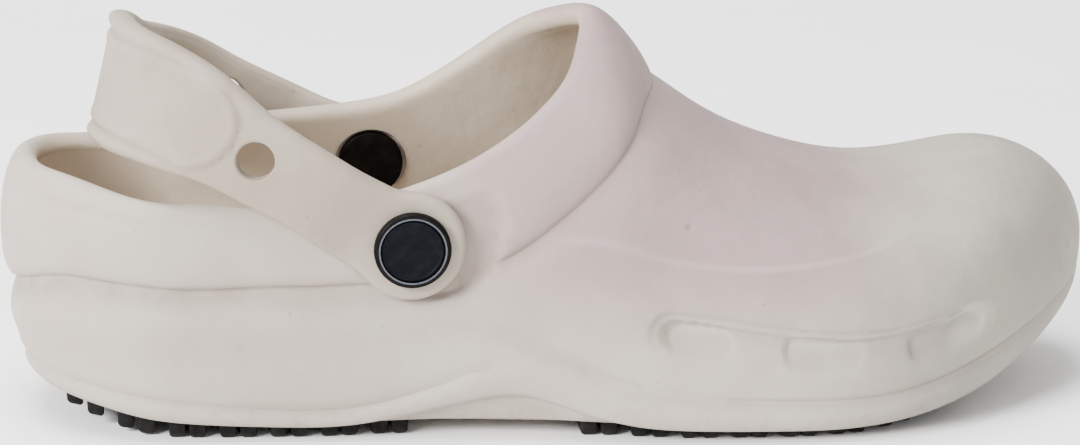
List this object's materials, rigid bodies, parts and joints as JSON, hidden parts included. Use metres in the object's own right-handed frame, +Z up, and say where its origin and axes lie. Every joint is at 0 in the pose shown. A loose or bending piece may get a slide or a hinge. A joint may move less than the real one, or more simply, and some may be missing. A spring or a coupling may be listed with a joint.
{
  "type": "chef clog",
  "caption": "Work clog moulded in one piece of foam, with a closed toe, a low open collar, a heel strap on two round rivets and black rubber tread pads under heel and forefoot.",
  "frame": {"origin": "middle of the object's box in plan, on the floor that the lugs stand on", "axes": "+X runs from the heel to the toe, +Y to the inner side of the foot, +Z up"},
  "size_m": [0.2898, 0.106, 0.1076],
  "materials": {
    "foam": "matte closed-cell foam with a fine moulded skin, warm off-white, beige inside",
    "strap_foam": "matte closed-cell foam, warm off-white",
    "tread_rubber": "matte black rubber, slightly dusty",
    "rivet_plastic": "satin black moulded plastic",
    "badge_plate": "satin black plastic disc with a plain grey ring"
  },
  "bodies": {
    "root": {"moulded_shell": "foam", "heel_strap": "strap_foam", "tread_pad_heel": "tread_rubber", "tread_pad_forefoot": "tread_rubber", "rivet_cap_lateral": "rivet_plastic", "rivet_badge_lateral": "badge_plate", "rivet_washer_lateral": "rivet_plastic", "rivet_cap_medial": "rivet_plastic", "rivet_badge_medial": "badge_plate", "rivet_washer_medial": "rivet_plastic"}
  },
  "joints": []
}
